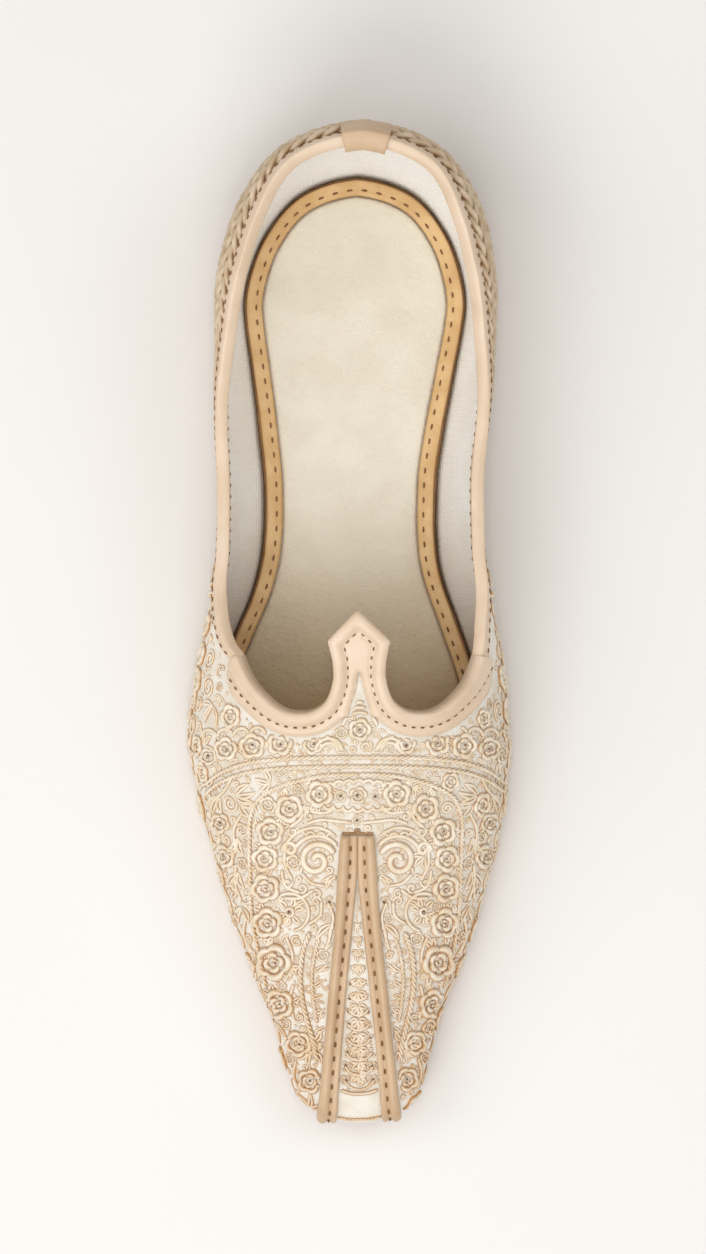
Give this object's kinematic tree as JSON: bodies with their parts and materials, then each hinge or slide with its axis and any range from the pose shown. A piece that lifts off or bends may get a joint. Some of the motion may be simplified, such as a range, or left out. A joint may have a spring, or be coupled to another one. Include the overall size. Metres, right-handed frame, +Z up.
{
  "type": "mojari shoe",
  "caption": "Right-foot slip-on shoe with an embroidered satin upper, rolled leather topline, spade-tabbed throat, leather toe straps, padded insole and low-heeled leather sole.",
  "frame": {"origin": "centre of the shoe's footprint box on the floor", "axes": "+Z up, +Y from toe to heel, +X towards the inner side of the right foot"},
  "size_m": [0.0825, 0.2583, 0.0617],
  "materials": {
    "satin": "white satin under raised cream cord embroidery",
    "trim_leather": "smooth rose-beige leather",
    "strap_leather": "smooth beige leather",
    "binding_leather": "tan leather",
    "insole_suede": "cream velvety lining leather",
    "sole_leather": "plain tan sole leather",
    "heel_leather": "stacked tan leather with burnished edges"
  },
  "bodies": {
    "root": {"outsole": "sole_leather", "heel_lift": "heel_leather", "upper": "satin", "insole_pad": "insole_suede", "insole_binding": "binding_leather", "collar_binding": "trim_leather", "throat_trim": "trim_leather", "heel_tab": "strap_leather", "toe_strap_left": "strap_leather", "toe_strap_right": "strap_leather"}
  },
  "joints": []
}
